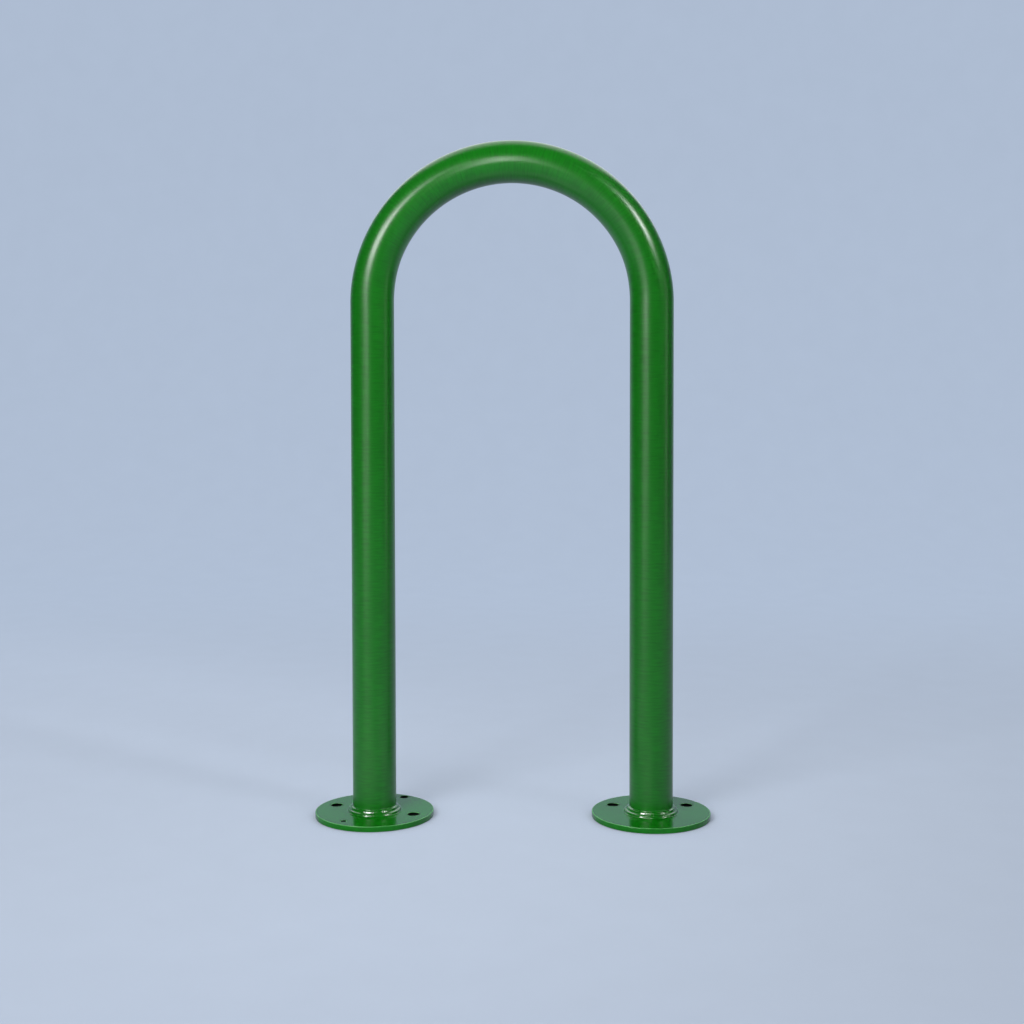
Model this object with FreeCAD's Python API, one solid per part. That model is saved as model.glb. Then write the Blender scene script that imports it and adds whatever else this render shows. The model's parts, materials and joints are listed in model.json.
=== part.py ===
"""Hoop barrier: one steel tube bent into an upright arch, with a round base flange welded to each leg.

Millimetres. +Z is up, and the floor is z = 0. The hoop stands in the XZ plane, its front faces -Y,
and the origin lies on the floor, midway between the legs.
"""

import FreeCAD, Part
import math
import os
from collections import namedtuple

Vector = FreeCAD.Vector

# Hoop tube
OVERALL_HEIGHT = 750.0  # floor to the top of the arch
LEG_SPACING = 309.0  # between the centre lines of the two legs
TUBE_DIAMETER = 48.3  # outside of the tube
TUBE_WALL = 3.2
BEND_FLATTENING = 1.7  # bending makes the tube this much narrower in the plane of the arch
FLATTENING_RUN_IN = 25.0  # degrees of bend in which the section turns from round to oval

# Base flanges
FLANGE_DIAMETER = 132.0
FLANGE_THICKNESS = 6.0
FLANGE_EDGE_RADIUS = 0.8  # rounding of the rim's upper and lower edge
DRAIN_HOLE_DIAMETER = 16.0  # in the middle, under the tube

# Holes in the flanges, each placed by its distance from the flange's rim and its angle from +X
FIXING_HOLE_DIAMETER = 13.0  # for a 12 mm anchor bolt
FIXING_HOLE_FROM_RIM = 18.0  # rim to the hole's centre
LEFT_FIXING_ANGLES = (-20.5, 159.5)
RIGHT_FIXING_ANGLES = (30.0, 150.0)
SPARE_HOLE_DIAMETER = 10.0  # a third, smaller fixing hole behind the left leg
SPARE_HOLE_FROM_RIM = 8.0
SPARE_HOLE_ANGLE = 61.0
HANGING_HOLE_DIAMETER = 6.0  # takes the hook that carries the hoop through the paint line
HANGING_HOLE_FROM_RIM = 13.0
HANGING_HOLE_ANGLE = -123.0

# Welds
WELD_LEG = 6.0  # the bead's height on the tube, and its reach over the flange
WELD_CROWN = 0.8  # how far the bead's face bulges past the straight line between its toes

# Sizes that follow from those above
TUBE_RADIUS = TUBE_DIAMETER / 2
BEND_RADIUS = LEG_SPACING / 2  # of the tube's centre line
BEND_HALF_DEPTH = (TUBE_DIAMETER - BEND_FLATTENING) / 2
SPRING_HEIGHT = OVERALL_HEIGHT - BEND_HALF_DEPTH - BEND_RADIUS  # where the legs turn into the arch
FLANGE_RADIUS = FLANGE_DIAMETER / 2
LEG_X = {"left": -LEG_SPACING / 2, "right": LEG_SPACING / 2}
UP = Vector(0, 0, 1)
BEND_AXIS = Vector(0, -1, 0)  # a positive turn about it runs from the right leg over the top to the left

Hole = namedtuple("Hole", "diameter from_rim angle")


def bend_centre():
    """Centre of the arch, level with the tops of the straight legs."""
    return Vector(0, 0, SPRING_HEIGHT)


def bend_point(radius, angle):
    """Point of the arch's plane at that radius and angle, in degrees from the right leg."""
    turn = math.radians(angle)
    return bend_centre() + Vector(radius * math.cos(turn), 0, radius * math.sin(turn))


def oval_section(round_radius, flattening, angle):
    """Tube section at that angle of the bend: narrower towards the bend's centre, wider across it."""
    shift = flattening / 2
    oval = Part.Ellipse(Vector(), round_radius + shift, round_radius - shift)
    centre = bend_point(BEND_RADIUS, angle)
    towards_centre = (bend_centre() - centre).normalize()
    across = Vector(0, 1, 0)
    frame = FreeCAD.Matrix()
    frame.A11, frame.A21, frame.A31 = across
    frame.A12, frame.A22, frame.A32 = towards_centre
    frame.A13, frame.A23, frame.A33 = across.cross(towards_centre)
    section = Part.Wire(oval.toShape())
    section.Placement = FreeCAD.Placement(centre, FreeCAD.Placement(frame).Rotation)
    return section


def bend_run_in(round_radius, round_angle, oval_angle):
    """Short stretch of the bend that turns from the leg's round section to the oval one."""
    middle_angle = (round_angle + oval_angle) / 2
    stations = [bend_point(BEND_RADIUS, a) for a in (round_angle, middle_angle, oval_angle)]
    path = Part.Wire(Part.Arc(*stations).toShape())
    ends = [
        oval_section(round_radius, 0.0, round_angle),
        oval_section(round_radius, BEND_FLATTENING, oval_angle),
    ]
    return path.makePipeShell(ends, True, False)


def hoop_rod(round_radius):
    """Solid rod along the whole hoop: a leg, a run-in, the oval bend, a run-in and the other leg."""
    leg_height = SPRING_HEIGHT - FLANGE_THICKNESS
    rods = [
        Part.makeCylinder(round_radius, leg_height, Vector(x, 0, FLANGE_THICKNESS))
        for x in LEG_X.values()
    ]
    rods.append(bend_run_in(round_radius, 0.0, FLATTENING_RUN_IN))
    rods.append(bend_run_in(round_radius, 180.0, 180.0 - FLATTENING_RUN_IN))
    oval_face = Part.Face(oval_section(round_radius, BEND_FLATTENING, FLATTENING_RUN_IN))
    rods.append(oval_face.revolve(bend_centre(), BEND_AXIS, 180.0 - 2 * FLATTENING_RUN_IN))
    return rods[0].multiFuse(rods[1:])


def hoop_tube():
    """The bent tube, open at both feet."""
    return hoop_rod(TUBE_RADIUS).cut(hoop_rod(TUBE_RADIUS - TUBE_WALL))


def flange_holes(side):
    """Holes of one flange, besides the drain hole."""
    angles = {"left": LEFT_FIXING_ANGLES, "right": RIGHT_FIXING_ANGLES}[side]
    holes = [Hole(FIXING_HOLE_DIAMETER, FIXING_HOLE_FROM_RIM, angle) for angle in angles]
    if side == "left":
        holes.append(Hole(SPARE_HOLE_DIAMETER, SPARE_HOLE_FROM_RIM, SPARE_HOLE_ANGLE))
        holes.append(Hole(HANGING_HOLE_DIAMETER, HANGING_HOLE_FROM_RIM, HANGING_HOLE_ANGLE))
    return holes


def flange(side):
    """Round base plate with rounded rim, its holes and the drain hole under the tube."""
    foot = Vector(LEG_X[side], 0, 0)
    plate = Part.makeCylinder(FLANGE_RADIUS, FLANGE_THICKNESS, foot)
    rim_edges = [edge for edge in plate.Edges if edge.isClosed()]
    plate = plate.makeFillet(FLANGE_EDGE_RADIUS, rim_edges)
    drills = [Part.makeCylinder(DRAIN_HOLE_DIAMETER / 2, FLANGE_THICKNESS, foot)]
    for hole in flange_holes(side):
        turn = math.radians(hole.angle)
        reach = FLANGE_RADIUS - hole.from_rim
        centre = foot + Vector(reach * math.cos(turn), reach * math.sin(turn), 0)
        drills.append(Part.makeCylinder(hole.diameter / 2, FLANGE_THICKNESS, centre))
    return plate.cut(drills)


def weld_run(side, start_angle):
    """Half-ring fillet weld between tube and flange, laid anticlockwise from that angle."""
    x = LEG_X[side]
    root = Vector(x + TUBE_RADIUS, 0, FLANGE_THICKNESS)
    flange_toe = root + Vector(WELD_LEG, 0, 0)
    tube_toe = root + Vector(0, 0, WELD_LEG)
    crown = (flange_toe + tube_toe) / 2 + Vector(1, 0, 1).normalize() * WELD_CROWN
    outline = Part.Wire([
        Part.LineSegment(root, flange_toe).toShape(),
        Part.Arc(flange_toe, crown, tube_toe).toShape(),
        Part.LineSegment(tube_toe, root).toShape(),
    ])
    axis_foot = Vector(x, 0, 0)
    start_face = Part.Face(outline)
    start_face.rotate(axis_foot, UP, start_angle)
    return start_face.revolve(axis_foot, UP, 180.0)


def build():
    """Every piece by its node's name."""
    pieces = {"hoop_tube": hoop_tube()}
    for side in LEG_X:
        pieces[f"{side}_flange"] = flange(side)
        pieces[f"{side}_rear_weld"] = weld_run(side, 0.0)
        pieces[f"{side}_front_weld"] = weld_run(side, 180.0)
    return pieces


def main():
    os.makedirs("parts", exist_ok=True)
    for name, shape in build().items():
        shape.exportStep(f"parts/{name}.step")
        box = shape.optimalBoundingBox(False)
        print(
            f"{name}: {len(shape.Solids)} solid, valid {shape.isValid()}, {shape.Volume:.1f} mm3, "
            f"x {box.XMin:.2f} to {box.XMax:.2f}, y {box.YMin:.2f} to {box.YMax:.2f}, "
            f"z {box.ZMin:.2f} to {box.ZMax:.2f}"
        )


main()
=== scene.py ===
"""Looks of the hoop barrier: a bent tube on two drilled flanges, powder coated green.

Named sizes are millimetres and degrees, and meshes are metres: MM turns the one into the other.
The legs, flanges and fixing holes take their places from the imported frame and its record.
"""

import json
import logging
import math
from dataclasses import dataclass, field
from enum import Enum

import bpy
import numpy as np
from bpy.types import Material, Node, NodeSocket, NodeTree, Object
from mathutils import Matrix, Quaternion, Vector
from mathutils.geometry import delaunay_2d_cdt


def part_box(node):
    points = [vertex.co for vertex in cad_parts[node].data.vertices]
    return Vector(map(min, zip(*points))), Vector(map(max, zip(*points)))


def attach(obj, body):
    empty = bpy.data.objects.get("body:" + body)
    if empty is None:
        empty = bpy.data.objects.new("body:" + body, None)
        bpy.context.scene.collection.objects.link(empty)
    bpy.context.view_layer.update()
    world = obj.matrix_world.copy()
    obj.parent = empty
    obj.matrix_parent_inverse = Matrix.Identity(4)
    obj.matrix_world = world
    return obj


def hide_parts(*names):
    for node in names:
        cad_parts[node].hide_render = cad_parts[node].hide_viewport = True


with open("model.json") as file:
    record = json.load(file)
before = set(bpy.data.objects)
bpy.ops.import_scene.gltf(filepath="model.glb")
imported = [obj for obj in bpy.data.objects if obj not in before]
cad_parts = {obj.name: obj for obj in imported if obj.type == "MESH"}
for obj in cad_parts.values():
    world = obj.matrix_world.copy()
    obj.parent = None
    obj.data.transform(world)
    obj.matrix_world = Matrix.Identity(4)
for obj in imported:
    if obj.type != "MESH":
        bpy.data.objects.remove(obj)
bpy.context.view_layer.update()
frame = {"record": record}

MM = 0.001
MICRON = 0.001 * MM
SMOOTH_ANGLE = math.radians(35.0)
LOG = logging.getLogger("hoop_barrier")

# Inputs of the Mix node, by number because their names repeat
MIX_SHARE, MIX_VALUE, MIX_OTHER_VALUE, MIX_COLOUR, MIX_OTHER_COLOUR = 0, 2, 3, 6, 7


class Side(Enum):
    """A leg of the hoop, seen from the front."""

    LEFT = "left"
    RIGHT = "right"


class Run(Enum):
    """A run of weld round half a leg, by the angle in degrees from +X where it starts."""

    REAR = 0.0
    FRONT = 180.0


class Marks(Enum):
    """What the metal under the coat shows through it."""

    DRAWN_TUBE = "fine rings round the tube, from drawing and linishing"
    ROLLED_PLATE = "faint mottling of rolled plate"
    WELD_BEAD = "nothing but the bead's own ripples"


def linear(hex_colour: str) -> tuple[float, float, float, float]:
    """Turns an sRGB hex colour into linear light.

    Args:
        hex_colour: A hash sign and six hex digits.

    Returns:
        Red, green, blue and full alpha, as Blender's sockets take them.
    """
    channels = [int(hex_colour[i : i + 2], 16) / 255 for i in (1, 3, 5)]
    light = [c / 12.92 if c <= 0.04045 else ((c + 0.055) / 1.055) ** 2.4 for c in channels]
    return (*light, 1.0)


def add_node(tree: NodeTree, kind: str, inputs: dict | None = None, **settings: object) -> Node:
    """Adds a node, sets its properties, and fills or links its inputs.

    Args:
        tree: Node tree that takes the node.
        kind: Blender's name for the kind of node.
        inputs: A value or an output socket for each input, by the input's name or number.
        **settings: The node's own properties.

    Returns:
        The new node.
    """
    node = tree.nodes.new(kind)
    for name, value in settings.items():
        setattr(node, name, value)
    for key, value in (inputs or {}).items():
        if isinstance(value, NodeSocket):
            tree.links.new(value, node.inputs[key])
        else:
            node.inputs[key].default_value = value
    return node


def ease(share: np.ndarray) -> np.ndarray:
    """Runs smoothly from 0 to 1: three times the square less twice the cube."""
    held = np.clip(share, 0.0, 1.0)
    return held * held * (3.0 - 2.0 * held)


def soft_floor(value: np.ndarray, softness: float) -> np.ndarray:
    """Larger of the value and 0, with the corner rounded over the softness: s log(1 + e^(v/s))."""
    return softness * np.logaddexp(0.0, value / softness)


def grid_corners(
    rows: int, columns: int, wrap_rows: bool, wrap_columns: bool
) -> tuple[np.ndarray, np.ndarray]:
    """Row and column of every quad's corners in a grid, counted on past the last where it wraps.

    Args:
        rows: Number of rows of points.
        columns: Number of points in a row.
        wrap_rows: Whether the last row joins the first.
        wrap_columns: Whether the last column joins the first.

    Returns:
        Two arrays, rows and columns, with four corners for each quad.
    """
    row, column = np.meshgrid(
        np.arange(rows if wrap_rows else rows - 1),
        np.arange(columns if wrap_columns else columns - 1),
        indexing="ij",
    )
    corner_rows = row.reshape(-1, 1) + np.array([[0, 1, 1, 0]])
    corner_columns = column.reshape(-1, 1) + np.array([[0, 0, 1, 1]])
    return corner_rows, corner_columns


@dataclass
class Surface:
    """A closed surface in millimetres, before it becomes a mesh.

    Attributes:
        points: One row of x, y, z for each point.
        quads: Four point numbers for each quad.
        triangles: Three point numbers for each triangle.
        wrap: A coordinate pair in metres for each corner of each quad, or None.
        shares: Values from 0 to 1 for each point, by the name that a material reads them by.
    """

    points: np.ndarray
    quads: np.ndarray
    triangles: np.ndarray = field(default_factory=lambda: np.zeros((0, 3), int))
    wrap: np.ndarray | None = None
    shares: dict[str, np.ndarray] = field(default_factory=dict)

    def volume(self) -> float:
        """Signed volume: a sixth of the sum of every triangle's box product with the origin.

        Returns:
            Cubic millimetres, below 0 where the faces point inwards.
        """
        halves = [self.quads[:, [0, 1, 2]], self.quads[:, [0, 2, 3]], self.triangles]
        a, b, c = np.moveaxis(self.points[np.concatenate(halves)], 1, 0)
        return float(np.einsum("ij,ij->", a, np.cross(b, c)) / 6.0)

    def to_object(self, name: str) -> Object:
        """Makes the mesh object, with its faces turned outwards.

        Args:
            name: Name of the object and its mesh.

        Returns:
            The object, at the origin and linked to the scene.
        """
        turn = -1 if self.volume() < 0 else 1
        faces = self.quads[:, ::turn].tolist() + self.triangles[:, ::turn].tolist()
        mesh = bpy.data.meshes.new(name)
        mesh.from_pydata(self.points * MM, [], faces)
        if self.wrap is not None:
            layer = mesh.uv_layers.new(name="wrap")
            layer.uv.foreach_set("vector", self.wrap[:, ::turn].astype(np.float32).ravel())
        for label, values in self.shares.items():
            layer = mesh.attributes.new(label, "FLOAT", "POINT")
            layer.data.foreach_set("value", values.astype(np.float32))
        mesh.shade_smooth()
        mesh.set_sharp_from_angle(angle=SMOOTH_ANGLE)
        piece = bpy.data.objects.new(name, mesh)
        bpy.context.scene.collection.objects.link(piece)
        return piece


@dataclass(frozen=True)
class PowderCoat:
    """Polyester powder coat, sprayed dry and baked into one thick, slightly dimpled film.

    The film flows out in the oven, so it gives the eye a deep, even colour under a soft shine, with the
    fine dimples called orange peel. The marks of the metal under it show through faintly.

    Attributes:
        name: The material's name.
        marks: What the metal under the coat shows through it.
        roughness: Mean roughness of the film.
        gloss: Specular level of the film, where 0.5 is a polished resin's.
        roughness_spread: How far the roughness strays to each side of the mean.
        colour: The coat at its full thickness.
        thin_colour: The coat where it lies thinner.
        peel_size: Width of one dimple of the orange peel.
        peel_height: Depth of the dimples, in microns.
        flow_size: Width of the long waves that the coat flows into.
        flow_height: Depth of the long waves, in microns.
        mark_height: Depth of the metal's marks as they show through, in microns.
    """

    name: str
    marks: Marks
    roughness: float
    gloss: float
    roughness_spread: float = 0.03
    colour: str = "#095D0A"
    thin_colour: str = "#107911"
    peel_size: float = 2.2
    peel_height: float = 16.0
    flow_size: float = 16.0
    flow_height: float = 22.0
    mark_height: float = 20.0

    RING_SPACING = 2.0  # real rings lie about 0.3 mm apart, and are drawn coarser so that they show
    RING_LENGTH = 16.0  # how far a ring runs round the tube before it fades
    MOTTLE_SIZE = 5.0  # width of a patch of mill scale on rolled plate
    SPOT_SIZE = 6.6  # width of the patches where the film of a weld is smoother or rougher
    TONE_SIZE = 45.0  # width of the patches where the coat lies thicker or thinner
    MARK_TONE = 0.6  # share of the coat's unevenness that follows the metal's marks
    NOISE_LOW, NOISE_HIGH = 0.3, 0.7  # where nearly all of the noise lies
    RESIN_IOR = 1.5
    NIB_SPACING = 17.0  # between the specks of dust that bake into the coat
    NIB_WIDTH = 0.9
    NIB_HEIGHT = 8.0  # microns
    EDGE_HIGHLIGHT_COLOUR = "#58A45E"  # painted highlight: a light green laid over the rounded cut edges
    BORE_SHADE_COLOUR = "#070B07"  # painted shade: the walls of the holes are coloured near black, as the shade inside them

    @property
    def marked(self) -> bool:
        """Whether the metal has marks of its own that show through the coat."""
        return self.marks is not Marks.WELD_BEAD

    def material(self) -> Material:
        """Makes the material: colour and roughness from noise and marks, relief from layers of bump.

        Returns:
            The material, ready for a mesh.
        """
        material = bpy.data.materials.new(self.name)
        material.use_nodes = True
        tree = material.node_tree
        tree.nodes.clear()
        place = add_node(tree, "ShaderNodeTexCoord")
        noises = self._noises(tree, place)
        relief = self._relief(tree, place, noises)
        tone = noises["tone"]
        metal = {"Value": noises["metal"], "From Min": self.NOISE_LOW, "From Max": self.NOISE_HIGH}
        if self.marked:
            clear = add_node(tree, "ShaderNodeMapRange", metal)
            mixed = {MIX_SHARE: self.MARK_TONE, MIX_VALUE: tone, MIX_OTHER_VALUE: clear.outputs["Result"]}
            tone = add_node(tree, "ShaderNodeMix", mixed).outputs["Result"]
        tones = {
            MIX_SHARE: tone,
            MIX_COLOUR: linear(self.colour),
            MIX_OTHER_COLOUR: linear(self.thin_colour),
        }
        colour = add_node(tree, "ShaderNodeMix", tones, data_type="RGBA")
        strays = {
            "To Min": self.roughness - self.roughness_spread,
            "To Max": self.roughness + self.roughness_spread,
        }
        roughness = add_node(tree, "ShaderNodeMapRange", metal | strays)
        shader = add_node(
            tree,
            "ShaderNodeBsdfPrincipled",
            {
                "Base Color": self._painted_edge_and_bore_tones(tree, colour.outputs["Result"]),
                "Roughness": roughness.outputs["Result"],
                "IOR": self.RESIN_IOR,
                "Specular IOR Level": self.gloss,
                "Normal": relief,
            },
        )
        add_node(tree, "ShaderNodeOutputMaterial", {"Surface": shader.outputs["BSDF"]})
        return material

    def _noises(self, tree: NodeTree, place: Node) -> dict[str, NodeSocket]:
        """Fractal noise for each unevenness of the coat, at its real size.

        On the tube, the noise of the metal lies in the tube's own wrap and is drawn out round it.

        Args:
            tree: The material's node tree.
            place: Its texture coordinates.

        Returns:
            Noise for the coat's tone, flow and peel and for the metal under it, all mostly about 0.5.
        """
        body = on_metal = place.outputs["Object"]
        if self.marks is Marks.DRAWN_TUBE:
            drawn_out = (1.0, self.RING_SPACING / self.RING_LENGTH, 1.0)
            wrap = {"Vector": place.outputs["UV"], "Scale": drawn_out}
            on_metal = add_node(tree, "ShaderNodeMapping", wrap).outputs["Vector"]
        metal = {
            Marks.DRAWN_TUBE: (on_metal, self.RING_SPACING, 2.0),
            Marks.ROLLED_PLATE: (on_metal, self.MOTTLE_SIZE, 4.0),
            Marks.WELD_BEAD: (on_metal, self.SPOT_SIZE, 2.0),
        }
        # Coordinates, width of a patch in millimetres, and how many finer layers lie over the patches
        layers = {
            "tone": (body, self.TONE_SIZE, 3.0),
            "flow": (body, self.flow_size, 1.0),
            "peel": (body, self.peel_size, 1.0),
            "metal": metal[self.marks],
        }
        noises = {}
        for label, (vector, size, detail) in layers.items():
            inputs = {"Vector": vector, "Scale": 1.0 / (size * MM), "Detail": detail}
            noises[label] = add_node(tree, "ShaderNodeTexNoise", inputs).outputs["Fac"]
        return noises

    def _painted_edge_and_bore_tones(self, tree: NodeTree, colour: NodeSocket) -> NodeSocket:
        """Colour of cut plate, with painted light: a painted highlight over its edges, and painted shade on
        the walls of its holes.

        Args:
            tree: The material's node tree.
            colour: The coat's colour on the open faces.

        Returns:
            The colour with edges and holes, or the same colour where the metal is not plate.
        """
        if self.marks is not Marks.ROLLED_PLATE:
            return colour
        for label, tone in (("painted_edge_highlight", self.EDGE_HIGHLIGHT_COLOUR), ("painted_bore_shade", self.BORE_SHADE_COLOUR)):
            share = add_node(tree, "ShaderNodeAttribute", attribute_name=label)
            mixed = {MIX_SHARE: share.outputs["Fac"], MIX_COLOUR: colour, MIX_OTHER_COLOUR: linear(tone)}
            colour = add_node(tree, "ShaderNodeMix", mixed, data_type="RGBA").outputs["Result"]
        return colour

    def _relief(self, tree: NodeTree, place: Node, noises: dict[str, NodeSocket]) -> NodeSocket:
        """Normal of the film: long waves, the metal's marks, orange peel and dust nibs over each other.

        Args:
            tree: The material's node tree.
            place: Its texture coordinates.
            noises: The coat's noises, by what they shape.

        Returns:
            The normal for the shader.
        """
        cells = add_node(
            tree,
            "ShaderNodeTexVoronoi",
            {"Vector": place.outputs["Object"], "Scale": 1.0 / (self.NIB_SPACING * MM)},
        )
        nibs = add_node(
            tree,
            "ShaderNodeMapRange",
            {
                "Value": cells.outputs["Distance"],
                "From Min": 0.0,
                "From Max": self.NIB_WIDTH / 2 / self.NIB_SPACING,
                "To Min": 1.0,
                "To Max": 0.0,
            },
            interpolation_type="SMOOTHSTEP",
        )
        layers = [(noises["flow"], self.flow_height)]
        if self.marked:
            layers.append((noises["metal"], self.mark_height))
        layers.append((noises["peel"], self.peel_height))
        layers.append((nibs.outputs["Result"], self.NIB_HEIGHT))
        normal = None
        for height, microns in layers:
            inputs = {"Height": height, "Distance": microns * MICRON, "Strength": 1.0}
            if normal is not None:
                inputs["Normal"] = normal
            normal = add_node(tree, "ShaderNodeBump", inputs).outputs["Normal"]
        return normal


@dataclass(frozen=True)
class MattePaper:
    """Matt background paper: even, pale and without shine, a little lighter towards the front.

    Part of its look is an even glow, which camera, glossy and transmitted rays see, as if the paper had
    lamps of its own. The rest is lit by the scene's lamps, and keeps the hoop's shadow.

    Attributes:
        name: The material's name.
        near_colour: The paper on the floor, in front.
        far_colour: The paper where it hangs behind.
        near_glow: Share of the near paper's look that is even glow.
        far_glow: Share of the far paper's look that is even glow.
        bounce: Share of its light that the paper throws on to the hoop, which keeps the shaded side deep.
        near_y: Where the near colour begins to fade, in metres.
        far_y: Where the far colour is reached, in metres.
        fade_start: How far to the side the painted shade begins to darken the paper, in metres.
        fade_end: How far to the side it is darkest, in metres.
        side_shade: Brightness that it keeps there.
        contact: How near to a thing that stands on it the glow is dimmed, in metres, which paints a contact
            shadow there.
    """

    name: str = "matt_background_paper"
    near_colour: str = "#BCC8DA"
    far_colour: str = "#B5C4DA"
    near_glow: float = 0.62
    far_glow: float = 0.9
    bounce: float = 0.4
    near_y: float = -0.3
    far_y: float = 1.9
    fade_start: float = 1.7
    fade_end: float = 3.5
    side_shade: float = 0.45
    contact: float = 0.06

    FIBRE_SIZE = 60.0  # width of the paper's faint clouds
    FIBRE_SHADE = 0.02  # how much darker or lighter a cloud is
    CONTACT_RAYS = 4

    def material(self) -> Material:
        """Makes the material: lit paper, mixed with an even glow for the rays that see it.

        Returns:
            The material, ready for a mesh.
        """
        material = bpy.data.materials.new(self.name)
        material.use_nodes = True
        tree = material.node_tree
        tree.nodes.clear()
        place = add_node(tree, "ShaderNodeTexCoord")
        axes = add_node(tree, "ShaderNodeSeparateXYZ", {0: place.outputs["Object"]})
        depth = add_node(
            tree,
            "ShaderNodeMapRange",
            {"Value": axes.outputs["Y"], "From Min": self.near_y, "From Max": self.far_y},
            interpolation_type="SMOOTHSTEP",
        )
        colour = self._colour(tree, place, axes, depth)
        seen = self._seen(tree)
        thrown = add_node(tree, "ShaderNodeMapRange", {"Value": seen, "To Min": self.bounce, "To Max": 1.0})
        surface = add_node(
            tree,
            "ShaderNodeVectorMath",
            {0: colour, "Scale": thrown.outputs["Result"]},
            operation="SCALE",
        )
        lit = add_node(tree, "ShaderNodeBsdfDiffuse", {"Color": surface.outputs["Vector"], "Roughness": 1.0})
        # Painted shadow: ambient occlusion dims the glow next to the feet, as a contact shadow
        contact_shadow = add_node(
            tree, "ShaderNodeAmbientOcclusion", {"Distance": self.contact}, samples=self.CONTACT_RAYS
        )
        even = add_node(tree, "ShaderNodeEmission", {"Color": colour, "Strength": contact_shadow.outputs["AO"]})
        glow = add_node(
            tree,
            "ShaderNodeMapRange",
            {"Value": depth.outputs["Result"], "To Min": self.near_glow, "To Max": self.far_glow},
        )
        share = add_node(tree, "ShaderNodeMath", {0: seen, 1: glow.outputs["Result"]}, operation="MULTIPLY")
        shader = add_node(
            tree,
            "ShaderNodeMixShader",
            {0: share.outputs["Value"], 1: lit.outputs["BSDF"], 2: even.outputs["Emission"]},
        )
        add_node(tree, "ShaderNodeOutputMaterial", {"Surface": shader.outputs["Shader"]})
        return material

    def _colour(self, tree: NodeTree, place: Node, axes: Node, depth: Node) -> NodeSocket:
        """Two tones blended from front to back, with faint clouds, and painted shade that darkens them far
        to the sides.

        Args:
            tree: The material's node tree.
            place: Its texture coordinates.
            axes: The same, axis by axis.
            depth: How far back a point lies, from 0 to 1.

        Returns:
            The paper's colour.
        """
        tones = {
            MIX_SHARE: depth.outputs["Result"],
            MIX_COLOUR: linear(self.near_colour),
            MIX_OTHER_COLOUR: linear(self.far_colour),
        }
        tone = add_node(tree, "ShaderNodeMix", tones, data_type="RGBA")
        # Painted shade: far to the sides the colour darkens, standing in for the studio's light falling off
        aside = add_node(tree, "ShaderNodeMath", {0: axes.outputs["X"]}, operation="ABSOLUTE")
        fade = add_node(
            tree,
            "ShaderNodeMapRange",
            {
                "Value": aside.outputs["Value"],
                "From Min": self.fade_start,
                "From Max": self.fade_end,
                "To Min": 1.0,
                "To Max": self.side_shade,
            },
            interpolation_type="SMOOTHSTEP",
        )
        clouds = add_node(
            tree,
            "ShaderNodeTexNoise",
            {"Vector": place.outputs["Object"], "Scale": 1.0 / (self.FIBRE_SIZE * MM), "Detail": 4.0},
        )
        shade = add_node(
            tree,
            "ShaderNodeMapRange",
            {
                "Value": clouds.outputs["Fac"],
                "To Min": 1.0 - self.FIBRE_SHADE,
                "To Max": 1.0 + self.FIBRE_SHADE,
            },
        )
        both = add_node(
            tree,
            "ShaderNodeMath",
            {0: shade.outputs["Result"], 1: fade.outputs["Result"]},
            operation="MULTIPLY",
        )
        colour = add_node(
            tree,
            "ShaderNodeVectorMath",
            {0: tone.outputs["Result"], "Scale": both.outputs["Value"]},
            operation="SCALE",
        )
        return colour.outputs["Vector"]

    def _seen(self, tree: NodeTree) -> NodeSocket:
        """Whether a ray shows the paper to the camera, at once or by shine or glass.

        Args:
            tree: The material's node tree.

        Returns:
            1 for camera, glossy and transmitted rays, and else 0.
        """
        path = add_node(tree, "ShaderNodeLightPath")
        seen = path.outputs["Is Camera Ray"]
        for ray in ("Is Glossy Ray", "Is Transmission Ray"):
            either = add_node(tree, "ShaderNodeMath", {0: seen, 1: path.outputs[ray]}, operation="MAXIMUM")
            seen = either.outputs["Value"]
        return seen


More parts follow.
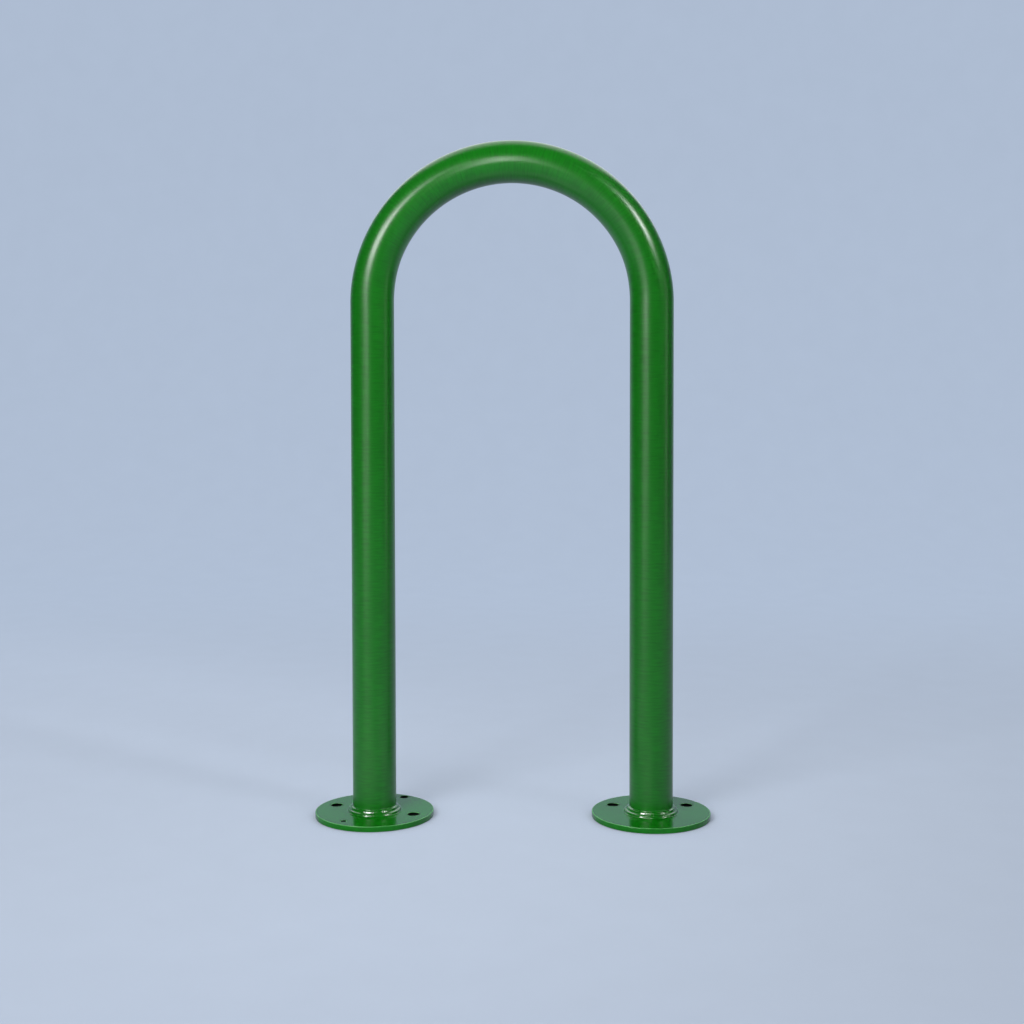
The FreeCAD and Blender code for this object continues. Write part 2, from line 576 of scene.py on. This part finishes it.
@dataclass
class HoopTube:
    """The bent tube: two straight legs and a half-round arch, all in one length.

    Attributes:
        leg_spacing: Between the centre lines of the legs.
        top: Height of the arch's outer edge.
        foot: Height of the tube's cut ends.
        diameter: Outside of the round tube.
        wall: Thickness of the tube's wall.
        flattening: How much narrower bending makes the tube in the plane of the arch.
        run_in: Degrees of bend in which the section turns from round to oval.
        leg_stations: Sections along each leg.
        bend_stations: Sections along the arch.
        around: Points round each section.
    """

    leg_spacing: float
    top: float
    foot: float
    diameter: float = 48.3
    wall: float = 3.2
    flattening: float = 1.7
    run_in: float = 25.0
    leg_stations: int = 60
    bend_stations: int = 181
    around: int = 128

    @property
    def bend_radius(self) -> float:
        """Radius of the arch's centre line."""
        return self.leg_spacing / 2

    @property
    def spring(self) -> float:
        """Height where the legs turn into the arch."""
        return self.top - (self.diameter - self.flattening) / 2 - self.bend_radius

    def centre_line(self) -> tuple[np.ndarray, np.ndarray, np.ndarray, np.ndarray]:
        """Stations up the left leg, over the arch and down the right leg.

        The direction away from the arch's middle is (-1, 0) on the left leg, (-cos t, sin t) on the arch
        with t from 0 to 180 degrees, and (1, 0) on the right leg. The centre line lies one bend radius
        out along it, and a leg's stations differ in height alone.

        Returns:
            Outward direction in x and z, centre in x and z, how oval the section is from 0 to 1, and the
            distance along the tube.
        """
        leg = np.linspace(self.foot, self.spring, self.leg_stations, endpoint=False)
        turn = np.linspace(0.0, np.pi, self.bend_stations)
        ones = np.ones_like(leg)
        outward = np.stack(
            [
                np.concatenate([-ones, -np.cos(turn), ones]),
                np.concatenate([0 * ones, np.sin(turn), 0 * ones]),
            ],
            axis=-1,
        )
        height = np.concatenate([leg, np.full_like(turn, self.spring), leg[::-1]])
        centre = outward * self.bend_radius + np.stack([0 * height, height], axis=-1)
        run_in = math.radians(self.run_in)
        oval = np.concatenate([0 * ones, ease(turn / run_in) * ease((np.pi - turn) / run_in), 0 * ones])
        steps = np.linalg.norm(np.diff(centre, axis=0), axis=1)
        return outward, centre, oval, np.concatenate([[0.0], np.cumsum(steps)])

    def skin(self, round_radius: float) -> np.ndarray:
        """One wall of the tube, as rows of points round the centre line.

        A point is the centre, plus the outward direction times the oval's half width times cos p, plus +Y
        times its half depth times sin p. The half width is the radius less half the flattening, and the
        half depth is the radius plus as much, so that the girth stays.

        Args:
            round_radius: Radius of that wall where the tube is round.

        Returns:
            Points by station, by angle and by axis.
        """
        outward, centre, oval, _ = self.centre_line()
        around = np.linspace(0.0, 2 * np.pi, self.around, endpoint=False)
        shift = oval * self.flattening / 2
        across = np.outer(round_radius - shift, np.cos(around))
        deep = np.outer(round_radius + shift, np.sin(around))
        return np.stack(
            [
                centre[:, :1] + across * outward[:, :1],
                deep,
                centre[:, 1:] + across * outward[:, 1:],
            ],
            axis=-1,
        )

    def surface(self) -> Surface:
        """Outer wall and inner wall joined at both feet, so that the grid closes in both directions.

        Returns:
            The tube, wrapped in metres along and round it.
        """
        outer = self.skin(self.diameter / 2)
        inner = self.skin(self.diameter / 2 - self.wall)[::-1]
        points = np.concatenate([outer, inner])
        rows, columns = points.shape[:2]
        row, column = grid_corners(rows, columns, True, True)
        *_, along = self.centre_line()
        distance = np.concatenate([along, along[::-1], along[:1]])
        girth = np.pi * self.diameter
        wrap = np.stack([distance[row], column / columns * girth], axis=-1) * MM
        return Surface(points.reshape(-1, 3), row % rows * columns + column % columns, wrap=wrap)

    def build(self, finish: PowderCoat) -> Object:
        """Makes the tube's piece in the place of its node, and dresses it."""
        return dress(self.surface().to_object("bent_tube"), finish, "hoop_tube")


@dataclass(frozen=True)
class Hole:
    """A round hole down through a flange.

    Attributes:
        x: Place across, from the middle of the hoop.
        y: Place from the hoop's plane towards the rear.
        radius: Half the hole's width.
    """

    x: float
    y: float
    radius: float


@dataclass
class BaseFlange:
    """Round base plate under one leg.

    Attributes:
        side: Which leg it carries.
        centre_x: Place of its middle.
        radius: Half its width.
        thickness: Height of its top over the floor.
        holes: All holes down through it.
        rim_round: Radius of the rim's upper and lower edge.
        hole_round: Radius of the rounded edges of the holes, which carry the painted edge highlight.
        rim_points: Points round the rim.
        hole_points: Points round each hole.
        round_steps: Points across each rounded edge.
    """

    side: Side
    centre_x: float
    radius: float
    thickness: float
    holes: list[Hole]
    rim_round: float = 0.8
    hole_round: float = 0.5
    rim_points: int = 288
    hole_points: int = 72
    round_steps: int = 6

    SUPPORT = 0.5  # flat strip beside each rounded edge, which keeps the shading of the faces flat
    INSIDE_ONLY = 1  # tells the triangulation to keep to the inside of the outer loop
    MERGE_DISTANCE = 1e-5

    def edge_outline(self, radius: float, rounding: float, outwards: float) -> np.ndarray:
        """Outline of an upright edge from the top face to the bottom face, as radius and height.

        It runs along the top face, turns down through a quarter circle, and mirrors that at the bottom.

        Args:
            radius: Where the upright wall stands.
            rounding: Radius of both rounded edges.
            outwards: 1 where the wall faces away from the axis, and -1 where it faces the axis.

        Returns:
            One row of radius and height for each point.
        """
        turn = np.linspace(0.0, np.pi / 2, self.round_steps)
        back = np.concatenate([[rounding + self.SUPPORT], rounding * (1 - np.sin(turn))])
        drop = np.concatenate([[0.0], rounding * (1 - np.cos(turn))])
        upper = np.stack([radius - outwards * back, self.thickness - drop], axis=-1)
        lower = np.stack([radius - outwards * back, drop], axis=-1)
        return np.concatenate([upper, lower[::-1]])

    def edge_shares(self, bored: bool) -> dict[str, np.ndarray]:
        """Where the highlight and the shade are painted, for each point of an upright edge's outline.

        From a face to the wall, the painted edge highlight falls as the cosine of the turn. A hole's wall is
        painted dark, as painted shade, from the middle of its rounded edges inwards.

        Args:
            bored: Whether the edge is a hole's.

        Returns:
            Shares from 0 to 1, by name.
        """
        turn = np.linspace(0.0, np.pi / 2, self.round_steps)
        # Painted highlight: lighter colour over the rounded edges
        edge_light_share = np.concatenate([[0.0], np.cos(turn)])
        # Painted shade: near-black colour on the walls of the holes
        bore_shade_share = bored * np.concatenate([[0.0], np.clip(4 * turn / np.pi - 1, 0.0, 1.0)])
        return {
            "painted_edge_highlight": np.concatenate([edge_light_share, edge_light_share[::-1]]),
            "painted_bore_shade": np.concatenate([bore_shade_share, bore_shade_share[::-1]]),
        }

    def lathe(self, x: float, y: float, outline: np.ndarray, count: int, turn: float) -> np.ndarray:
        """Carries an outline round an upright axis: (x + r cos a, y + r sin a, z).

        Args:
            x: Place of the axis.
            y: Place of the axis.
            outline: Radius and height of each point.
            count: Points round the axis.
            turn: 1 to go anticlockwise and -1 to go clockwise, which turns the faces over.

        Returns:
            Points by outline, by angle and by axis.
        """
        angle = turn * np.linspace(0.0, 2 * np.pi, count, endpoint=False)
        radius, height = outline[:, :1], outline[:, 1:]
        return np.stack(
            [x + radius * np.cos(angle), y + radius * np.sin(angle), height + 0 * angle], axis=-1
        )

    def flat_face(self, loops: list[np.ndarray], points: np.ndarray) -> np.ndarray:
        """Fills the plate between its rim and its holes with triangles, anticlockwise from above.

        Args:
            loops: Point numbers of the rim's loop, then of each hole's loop.
            points: All points of the plate.

        Returns:
            Three point numbers for each triangle.
        """
        numbers = np.concatenate(loops)
        starts = np.cumsum([0] + [len(loop) for loop in loops])
        spans = [np.arange(a, b) for a, b in zip(starts, starts[1:])]
        edges = np.concatenate([np.stack([span, np.roll(span, -1)], axis=-1) for span in spans])
        flat = points[numbers, :2]
        made, _, faces, *_ = delaunay_2d_cdt(
            [Vector(p) for p in flat], edges.tolist(), [], self.INSIDE_ONLY, self.MERGE_DISTANCE
        )
        if len(made) != len(flat):
            raise ValueError("the flat face's loops touch each other")
        faces = np.asarray(faces)
        middle = flat[faces].mean(axis=1)
        solid = np.ones(len(faces), bool)
        for hole in self.holes:
            solid &= np.hypot(middle[:, 0] - hole.x, middle[:, 1] - hole.y) > hole.radius
        return numbers[faces[solid]]

    def surface(self) -> Surface:
        """Rim and holes as turned strips, and a flat face over and under them.

        Returns:
            The plate, with the shares of painted edge highlight and painted bore shade for each point.
        """
        rim = (self.centre_x, 0.0, self.radius, self.rim_round, self.rim_points, 1.0)
        bores = [(h.x, h.y, h.radius, self.hole_round, self.hole_points, -1.0) for h in self.holes]
        strips = [
            self.lathe(x, y, self.edge_outline(radius, rounding, facing), count, facing)
            for x, y, radius, rounding, count, facing in [rim, *bores]
        ]
        quads, top_loops, bottom_loops = [], [], []
        start = 0
        for strip in strips:
            rows, columns = strip.shape[:2]
            row, column = grid_corners(rows, columns, False, True)
            quads.append(start + row * columns + column % columns)
            top_loops.append(start + np.arange(columns))
            bottom_loops.append(start + (rows - 1) * columns + np.arange(columns))
            start += rows * columns
        points = np.concatenate([strip.reshape(-1, 3) for strip in strips])
        top = self.flat_face(top_loops, points)
        bottom = self.flat_face(bottom_loops, points)[:, ::-1]
        by_strip = [self.edge_shares(bored=number > 0) for number in range(len(strips))]
        shares = {
            label: np.concatenate(
                [np.repeat(known[label], strip.shape[1]) for known, strip in zip(by_strip, strips)]
            )
            for label in by_strip[0]
        }
        return Surface(points, np.concatenate(quads), np.concatenate([top, bottom]), shares=shares)

    def build(self, finish: PowderCoat) -> Object:
        """Makes the flange's piece in the place of its node, and dresses it.

        Args:
            finish: The coat that it gets.

        Returns:
            The piece.
        """
        side = self.side.value
        piece = self.surface().to_object(f"{side}_base_flange")
        return dress(piece, finish, f"{side}_flange")


@dataclass
class FilletWeld:
    """Weld round the foot of one leg, laid in two runs that meet at the sides.

    Attributes:
        side: Which leg it holds.
        centre_x: Place of the leg's axis.
        tube_radius: Outside of the tube.
        floor: Height of the flange's top.
        leg: The bead's height on the tube, and its reach over the flange.
        seed: Number that the bead's unevenness is drawn from.
        stations: Sections along each run.
        across: Points across the bead's face.
    """

    side: Side
    centre_x: float
    tube_radius: float
    floor: float
    leg: float
    seed: int
    stations: int = 260
    across: int = 34

    CROWN = 0.2  # bulge of the whole bead past the straight line between its toes
    RIDGE = 0.42  # half the height of the two passes, laid one over the other
    RIDGE_EDGE = 0.98  # how straight a pass's flanks are, from 0, a plain wave, to 1
    RIPPLE = 0.1  # height of the ripples along the bead
    RIPPLES = 44  # ripples in a full turn
    BOW = 1.6  # how far a ripple's ends trail behind its middle, in radians of its own wave
    STOP_LUMP = 0.7  # lump where one run starts over the end of the other
    STOP_WIDTH = 9.0  # degrees
    COAT_FLOW = 0.28  # softness of the coat's flow on to tube and flange
    OVERRUN = 0.16  # how far past its toes the coat is followed, as a share of the bead
    LEG_WANDER = 0.07  # how far the bead's height and reach stray, as a share
    RIPPLE_WANDER = 1.3  # how far the ripples stray along the bead, in radians of their own wave
    VIGOUR_WANDER = 0.08  # how far the height of passes and ripples strays, as a share
    RIPPLE_POWER = 0.8  # how round a ripple's back is: 1 is a plain wave's
    RIPPLE_MEAN = 0.6  # taken off, so that ripples rise and fall about the bead's face

    def wander(self, angle: np.ndarray, draws: np.random.Generator) -> np.ndarray:
        """Slow unevenness round the bead: a sum of waves, 2 to 11 in a turn, with drawn phases.

        Args:
            angle: Angle of each station, from +X.
            draws: Where the phases are drawn from.

        Returns:
            About -1 to 1 for each station.
        """
        counts = np.arange(2, 12)
        phases = draws.uniform(0.0, 2 * np.pi, len(counts))
        waves = np.cos(np.outer(angle, counts) + phases) / np.sqrt(counts)
        return waves.sum(axis=1) / 2.0

    def face(self, angle: np.ndarray) -> tuple[np.ndarray, np.ndarray]:
        """Height on the tube and reach over the flange of the bead's face, by angle and across.

        The face is the straight line between the two toes, pushed out at 45 degrees by a rounded crown, two
        passes with nearly straight flanks, the ripples and a lump at each side. Height and reach then pass
        a soft floor at 0, where the coat flows out thinly on the tube and the flange.

        Args:
            angle: Angle of each station, from +X.

        Returns:
            Two arrays in millimetres.
        """
        draws = np.random.default_rng(self.seed)
        height = self.leg * (1 + self.LEG_WANDER * self.wander(angle, draws))[:, None]
        reach = self.leg * (1 + self.LEG_WANDER * self.wander(angle, draws))[:, None]
        jitter = self.RIPPLE_WANDER * self.wander(angle, draws)[:, None]
        vigour = (1 + self.VIGOUR_WANDER * self.wander(angle, draws))[:, None]
        across = np.linspace(-self.OVERRUN, 1 + self.OVERRUN, self.across)[None, :]
        inside = np.clip(across, 0.0, 1.0)
        hump = 4 * inside * (1 - inside)
        wave = self.RIPPLES * angle[:, None] + jitter - self.BOW * (2 * inside - 1) ** 2
        ripple = np.abs(np.sin(wave / 2)) ** self.RIPPLE_POWER - self.RIPPLE_MEAN
        to_side = np.degrees(np.abs(np.angle(np.exp(2j * angle)))) / 2
        lump = np.exp(-((to_side / self.STOP_WIDTH) ** 2))[:, None]
        bulge = hump * (self.CROWN + self.STOP_LUMP * lump)
        passes = np.arcsin(self.RIDGE_EDGE * np.cos(4 * np.pi * inside)) / np.arcsin(self.RIDGE_EDGE)
        bulge = bulge + self.RIDGE * (1 - passes) * vigour
        bulge = (bulge + self.RIPPLE * ripple * np.sqrt(hump) * vigour) / math.sqrt(2.0)
        up = soft_floor(height * (1 - across) + bulge, self.COAT_FLOW)
        out = soft_floor(reach * across + bulge, self.COAT_FLOW)
        return up, out

    def surface(self, run: Run) -> Surface:
        """One run: the bead's face carried round half the leg, closed at the corner and at both ends.

        Args:
            run: Which half.

        Returns:
            The bead, as a closed surface.
        """
        angle = math.radians(run.value) + np.linspace(0.0, np.pi, self.stations)
        up, out = self.face(angle)
        corner = np.zeros((self.stations, 1))
        radius = self.tube_radius + np.concatenate([out, corner], axis=1)
        height = self.floor + np.concatenate([up, corner], axis=1)
        points = np.stack(
            [
                self.centre_x + radius * np.cos(angle)[:, None],
                radius * np.sin(angle)[:, None],
                height,
            ],
            axis=-1,
        )
        rows, columns = points.shape[:2]
        row, column = grid_corners(rows, columns, False, True)
        quads = row * columns + column % columns
        fan = np.arange(columns - 2)
        start = np.stack([np.full_like(fan, columns - 1), fan, fan + 1], axis=-1)
        end = start[:, ::-1] + (rows - 1) * columns
        return Surface(points.reshape(-1, 3), quads, np.concatenate([start, end]))

    def build(self, finish: PowderCoat) -> list[Object]:
        """Makes both runs in the places of their nodes, and dresses them.

        Args:
            finish: The coat that they get.

        Returns:
            The two pieces.
        """
        made = []
        for run in Run:
            name = f"{self.side.value}_{run.name.lower()}_weld"
            piece = self.surface(run).to_object(f"{name}_bead")
            made.append(dress(piece, finish, name))
        return made


def dress(piece: Object, finish: PowderCoat, node: str) -> Object:
    """Gives a piece its material and its place in the frame.

    Args:
        piece: The new piece.
        finish: The coat that it gets.
        node: The node that the piece replaces.

    Returns:
        The same piece.
    """
    material = bpy.data.materials.get(finish.name) or finish.material()
    piece.data.materials.append(material)
    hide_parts(node)
    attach(piece, "root")
    LOG.info("%s: %d faces, %s", piece.name, len(piece.data.polygons), finish.name)
    return piece


@dataclass(frozen=True)
class Softbox:
    """A flat lamp that faces the hoop.

    Attributes:
        name: The lamp's name.
        azimuth: Degrees from the camera's side towards the right.
        elevation: Degrees above the hoop's middle.
        distance: Metres from the hoop's middle.
        width: Metres.
        height: Metres.
        power: Watts.
        roll: Degrees that it is turned anticlockwise about its own axis, seen from behind it.
        grid: Full angle in degrees that the honeycomb before it lets through.
        aim: Point that it faces, from the target.
    """

    name: str
    azimuth: float
    elevation: float
    distance: float
    width: float
    height: float
    power: float
    roll: float = 0.0
    grid: float = 180.0
    aim: tuple[float, float, float] = (0.0, 0.0, 0.0)

    def place(self, target: Vector) -> Object:
        """Hangs the lamp and turns it to the point that it faces.

        Args:
            target: The point that its place and aim are given from.

        Returns:
            The object that carries the light.
        """
        around, up = math.radians(self.azimuth), math.radians(self.elevation)
        away = Vector(
            (math.sin(around) * math.cos(up), -math.cos(around) * math.cos(up), math.sin(up))
        )
        sight = Vector(self.aim) - away * self.distance
        facing = sight.to_track_quat("-Z", "Y") @ Quaternion((0, 0, 1), math.radians(self.roll))
        holder = hang(self, target + away * self.distance, facing)
        holder.data.spread = math.radians(self.grid)
        return holder


@dataclass(frozen=True)
class FloorPanel:
    """A flat lamp that lies on the floor and shines upwards, like a reflector laid before the hoop.

    Attributes:
        name: The lamp's name.
        x: Place of its middle, in metres.
        y: Place of its middle, in metres.
        width: Metres.
        height: Its length over the floor, in metres.
        power: Watts.
        turn: Degrees that it is turned anticlockwise, seen from above.
    """

    name: str
    x: float
    y: float
    width: float
    height: float
    power: float
    turn: float

    LIFT = 0.002  # over the floor, in metres

    def place(self, target: Vector) -> Object:
        """Lays the panel down, facing up, at its own place on the floor whatever the target is."""
        facing = Quaternion((0, 0, 1), math.radians(self.turn)) @ Quaternion((1, 0, 0), math.pi)
        return hang(self, Vector((self.x, self.y, self.LIFT)), facing)


def hang(lamp: Softbox | FloorPanel, place: Vector, facing: Quaternion) -> Object:
    """Makes the light of a lamp, which the camera does not see.

    Args:
        lamp: The lamp.
        place: Its middle.
        facing: Turns the light's own axis, which points down, to where the lamp shines.

    Returns:
        The object that carries the light.
    """
    light = bpy.data.lights.new(lamp.name, "AREA")
    light.shape = "RECTANGLE"
    light.size, light.size_y = lamp.width, lamp.height
    light.energy = lamp.power
    holder = bpy.data.objects.new(lamp.name, light)
    holder.location = place
    holder.rotation_euler = facing.to_euler()
    holder.visible_camera = False
    bpy.context.scene.collection.objects.link(holder)
    return holder


@dataclass
class Studio:
    """Background paper, lamps and the room's own light.

    Attributes:
        target: Point that the lamps face.
        lamps: The lamps.
        paper: The background's finish.
        floor_front: Where the paper begins, in front of the hoop, in metres.
        sweep_start: Where the paper starts to rise behind the hoop, in metres.
        sweep_radius: Radius of the paper's curve, in metres.
        wall_height: Height of the paper's upper edge, in metres.
        half_width: Half the paper's width, in metres.
        room_colour: The dim, even light of the room beyond the paper.
    """

    target: Vector
    lamps: list[Softbox | FloorPanel]
    paper: MattePaper = MattePaper()
    floor_front: float = -4.0
    sweep_start: float = 1.7
    sweep_radius: float = 0.9
    wall_height: float = 3.2
    half_width: float = 4.5
    room_colour: str = "#3C4149"

    SWEEP_STEPS = 33

    def backdrop(self) -> Object:
        """Hangs the paper: a straight floor, a quarter circle and a straight wall, drawn out along X.

        Returns:
            The paper.
        """
        turn = np.linspace(0.0, np.pi / 2, self.SWEEP_STEPS)
        y = self.sweep_start + self.sweep_radius * np.sin(turn)
        z = self.sweep_radius * (1 - np.cos(turn))
        line = np.stack(
            [
                np.concatenate([[self.floor_front], y, y[-1:]]),
                np.concatenate([[0.0], z, [self.wall_height]]),
            ],
            axis=-1,
        )
        x = np.array([-self.half_width, self.half_width])
        points = np.stack(
            [
                x[None, :] + 0 * line[:, :1],
                line[:, :1] + 0 * x[None, :],
                line[:, 1:] + 0 * x[None, :],
            ],
            axis=-1,
        )
        row, column = grid_corners(len(line), len(x), False, False)
        mesh = bpy.data.meshes.new("background_paper")
        mesh.from_pydata(points.reshape(-1, 3), [], (row * len(x) + column)[:, ::-1].tolist())
        mesh.shade_smooth()
        mesh.materials.append(self.paper.material())
        paper = bpy.data.objects.new("background_paper", mesh)
        bpy.context.scene.collection.objects.link(paper)
        return paper

    def room(self) -> None:
        """Fills the room with dim, even light."""
        world = bpy.data.worlds.new("studio_room")
        world.use_nodes = True
        tree = world.node_tree
        tree.nodes.clear()
        light = add_node(tree, "ShaderNodeBackground", {"Color": linear(self.room_colour)})
        add_node(tree, "ShaderNodeOutputWorld", {"Surface": light.outputs["Background"]})
        bpy.context.scene.world = world

    def build(self) -> None:
        """Hangs paper and lamps, and sets how the picture shows its light."""
        self.backdrop()
        for lamp in self.lamps:
            lamp.place(self.target)
        self.room()
        bpy.context.scene.view_settings.view_transform = "Standard"


@dataclass(frozen=True)
class PhotoCamera:
    """Camera at the photograph's place, fitted to the outlines of tube and flanges.

    Attributes:
        x: Place to the right of the hoop's middle, in millimetres.
        distance: Place in front of the hoop's plane, in millimetres.
        height: Height over the floor, in millimetres.
        tilt: Downward tilt in radians.
        pan: Turn to the right in radians.
        roll: Clockwise roll in radians.
        focal_pixels: Focal length in pixels of the picture.
        rise_pixels: How far the lens's axis meets the picture above its middle, in pixels.
        picture: Width of the picture in pixels.
    """

    x: float = 41.6
    distance: float = 1627.4
    height: float = 480.1
    tilt: float = 0.0348
    pan: float = -0.0255
    roll: float = 0.0017
    focal_pixels: float = 1469.9
    rise_pixels: float = 75.0
    picture: float = 1024.0

    SENSOR = 36.0  # width of the sensor, in millimetres

    def place(self) -> Object:
        """Sets up the camera and makes it the scene's own.

        Returns:
            The camera.
        """
        lens = bpy.data.cameras.new("photo_camera")
        lens.sensor_width = self.SENSOR
        lens.lens = self.focal_pixels / self.picture * self.SENSOR
        lens.shift_y = -self.rise_pixels / self.picture
        camera = bpy.data.objects.new("photo_camera", lens)
        camera.location = Vector((self.x, -self.distance, self.height)) * MM
        turned = (
            Matrix.Rotation(-self.pan, 3, "Z")
            @ Matrix.Rotation(math.pi / 2 - self.tilt, 3, "X")
            @ Matrix.Rotation(-self.roll, 3, "Z")
        )
        camera.rotation_euler = turned.to_euler()
        bpy.context.scene.collection.objects.link(camera)
        bpy.context.scene.camera = camera
        return camera


# Drawn and linished tube under the coat: soft, satin light along the tube, with fine streaks across it
TUBE_COAT = PowderCoat(
    "powder_coat_on_drawn_tube",
    Marks.DRAWN_TUBE,
    roughness=0.287,
    gloss=0.52,
    roughness_spread=0.012,
    mark_height=14.0,
)
# Rolled plate, cut and drilled, under the coat: an even sheen, a painted highlight on the edges and painted
# shade in the holes; its green is lighter than the tube's as painted light, for the plate's top lit from
# above
PLATE_COAT = PowderCoat(
    "powder_coat_on_rolled_plate",
    Marks.ROLLED_PLATE,
    roughness=0.17,
    gloss=0.36,
    # Painted light: this green is lighter than the tube's coat of the same paint, for the plate's top lit
    # from above
    colour="#0A6D0B",
    thin_colour="#0E8110",
)
# Weld bead under the coat: short, bright glints along its passes
WELD_COAT = PowderCoat(
    "powder_coat_on_weld_bead",
    Marks.WELD_BEAD,
    roughness=0.15,
    gloss=1.0,
    peel_height=6.0,
)

# Key and scrims from the left, small lamps for the shoulders, the top and the feet, and one from behind
# Softbox: azimuth, elevation, distance, width, height and power; FloorPanel: x, y, width, length and power
LAMPS = [
    Softbox("key_left", -36.0, 21.0, 2.0, 0.8, 0.4, 20.0, roll=-20.0),
    Softbox("key_upper", -27.0, 25.5, 2.0, 0.25, 0.25, 4.5),
    Softbox("scrim_left", -33.0, -2.5, 2.1, 1.35, 0.45, 2.8, roll=12.0),
    Softbox("fill_low", -12.0, 26.0, 2.0, 0.6, 0.4, 0.38, grid=32.0, aim=(0.02, 0.0, -0.33)),
    Softbox("front_apex", -4.2, 52.4, 0.443, 0.013, 0.11, 0.16, aim=(0.0, 0.0, 0.33)),
    Softbox("side_right", 56.0, 34.5, 2.2, 0.5, 0.5, 0.45, grid=18.0, aim=(0.12, 0.0, 0.3)),
    Softbox("foot_right", 57.0, 15.5, 1.95, 1.4, 0.22, 0.4, grid=24.0, aim=(0.0, 0.0, -0.38)),
    Softbox("rim_right", 80.0, 4.0, 2.0, 0.5, 0.9, 1.2),
    Softbox("back_top", 180.0, 50.0, 2.2, 2.6, 2.6, 27.0),
    FloorPanel("floor_far", -0.58, -1.09, 0.9, 0.7, 0.45, turn=-28.0),
    FloorPanel("floor_left", -0.33, -0.38, 0.34, 0.6, 0.2, turn=-25.0),
    FloorPanel("floor_right", 0.08, -0.275, 0.14, 0.35, 0.05, turn=0.0),
]

LAMP_TARGET = Vector((0.0, 0.0, 0.4))  # in metres, about the hoop's middle

# Holes that are no mounts, and the turn of a pattern that the record gives no angle for
DRAIN_RADIUS = 8.0
HANGING_RADIUS = 3.0
HANGING_ANGLE = math.radians(-123.0)  # from +X
HANGING_REACH = 53.0  # from the left flange's middle
LEFT_FIXING_ANGLE = math.radians(-20.5)  # of the line through the left flange's two fixing holes

WELD_SEEDS = {Side.LEFT: 3, Side.RIGHT: 4}  # where each foot's random draws start


def mounts() -> dict[str, dict]:
    """The record's mounts by name."""
    return {mount["name"]: mount for mount in frame["record"]["mounts"]}


def flange_holes(side: Side, centre_x: float) -> list[Hole]:
    """Holes of one flange, at the places of the record's mounts.

    Args:
        side: Which flange.
        centre_x: Place of the flange's middle.

    Returns:
        Fixing holes, drain hole and, on the left, the spare hole and the hanging hole.
    """
    known = mounts()
    holes = [Hole(centre_x, 0.0, DRAIN_RADIUS)]
    pattern = known[f"{side.value}_fixing_holes"]
    middle = np.array(pattern["pos_m"][:2]) / MM
    radius = pattern["dims"]["hole_r_mm"]
    if side is Side.LEFT:
        spare = known["left_spare_hole"]
        x, y = np.array(spare["pos_m"][:2]) / MM
        holes.append(Hole(x, y, spare["dims"]["r_mm"]))
        across, deep = HANGING_REACH * math.cos(HANGING_ANGLE), HANGING_REACH * math.sin(HANGING_ANGLE)
        holes.append(Hole(centre_x + across, deep, HANGING_RADIUS))
        half = pattern["dims"]["pcd_mm"] / 2
        along = np.array([math.cos(LEFT_FIXING_ANGLE), math.sin(LEFT_FIXING_ANGLE)])
    else:
        half = pattern["dims"]["spacing_x_mm"] / 2
        along = np.array([1.0, 0.0])
    holes += [Hole(*(middle + sign * half * along), radius) for sign in (-1, 1)]
    return holes


def main() -> None:
    """Builds the hoop from its foot up, then the studio and the camera."""
    logging.basicConfig(level=logging.INFO, format="%(name)s: %(message)s")
    tube_low, tube_high = (np.array(corner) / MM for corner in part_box("hoop_tube"))
    leg_x = {side: mounts()[f"{side.value}_foot"]["pos_m"][0] / MM for side in Side}
    tube = HoopTube(
        leg_spacing=leg_x[Side.RIGHT] - leg_x[Side.LEFT],
        top=round(tube_high[2]),
        foot=round(tube_low[2]),
    )
    tube.build(TUBE_COAT)
    for side in Side:
        _, high = (np.array(corner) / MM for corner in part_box(f"{side.value}_flange"))
        weld_low, weld_high = (np.array(c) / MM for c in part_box(f"{side.value}_rear_weld"))
        BaseFlange(
            side,
            leg_x[side],
            radius=round(high[1]),
            thickness=round(high[2]),
            holes=flange_holes(side, leg_x[side]),
        ).build(PLATE_COAT)
        FilletWeld(
            side,
            leg_x[side],
            tube_radius=tube.diameter / 2,
            floor=tube.foot,
            leg=round(weld_high[2] - weld_low[2]),
            seed=WELD_SEEDS[side],
        ).build(WELD_COAT)
    Studio(LAMP_TARGET, LAMPS).build()
    PhotoCamera().place()


if __name__ == "__main__":
    main()
